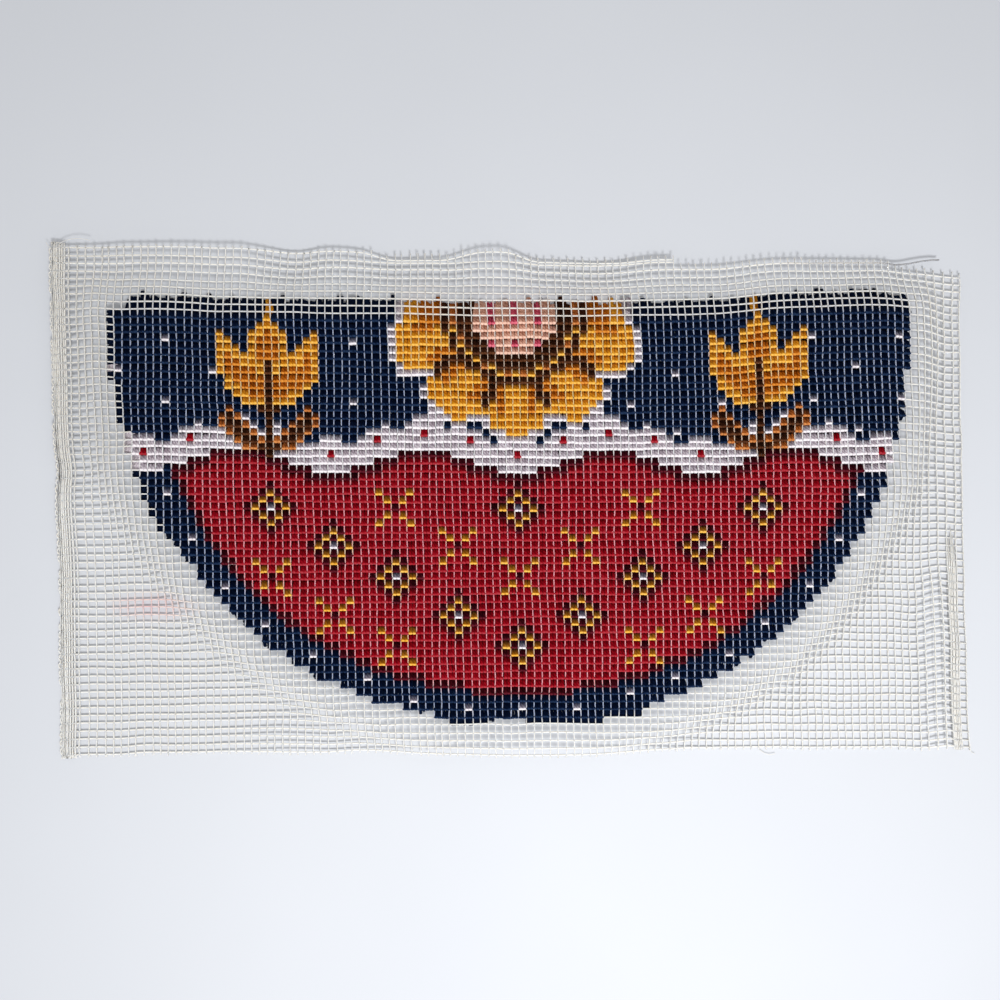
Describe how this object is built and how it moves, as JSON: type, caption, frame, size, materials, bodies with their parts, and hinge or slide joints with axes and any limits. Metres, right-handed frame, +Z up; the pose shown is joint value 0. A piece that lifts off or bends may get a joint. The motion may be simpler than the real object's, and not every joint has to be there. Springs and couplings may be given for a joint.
{
  "type": "latch hook wall hanging",
  "caption": "Half-round latch hook wall hanging on open rug canvas, lying on its cut yarn pile with the knot backs and bare mesh margins uppermost.",
  "frame": {"origin": "centre of the footprint on the surface that the pile lies on", "axes": "+X along the straight side of the half-moon, +Y towards that straight side, +Z up from the pile to the back of the canvas"},
  "size_m": [0.8142, 0.4518, 0.0191],
  "materials": {
    "canvas_thread": "stiffened off-white cotton mesh",
    "yarn_red": "matt twisted rug yarn",
    "yarn_navy": "matt twisted rug yarn",
    "yarn_white": "matt twisted rug yarn",
    "yarn_gold": "matt twisted rug yarn",
    "yarn_maroon": "matt twisted rug yarn",
    "yarn_brown": "matt twisted rug yarn",
    "yarn_peach": "matt twisted rug yarn"
  },
  "bodies": {
    "root": {"canvas": "canvas_thread", "pile": "yarn_red"}
  },
  "joints": []
}
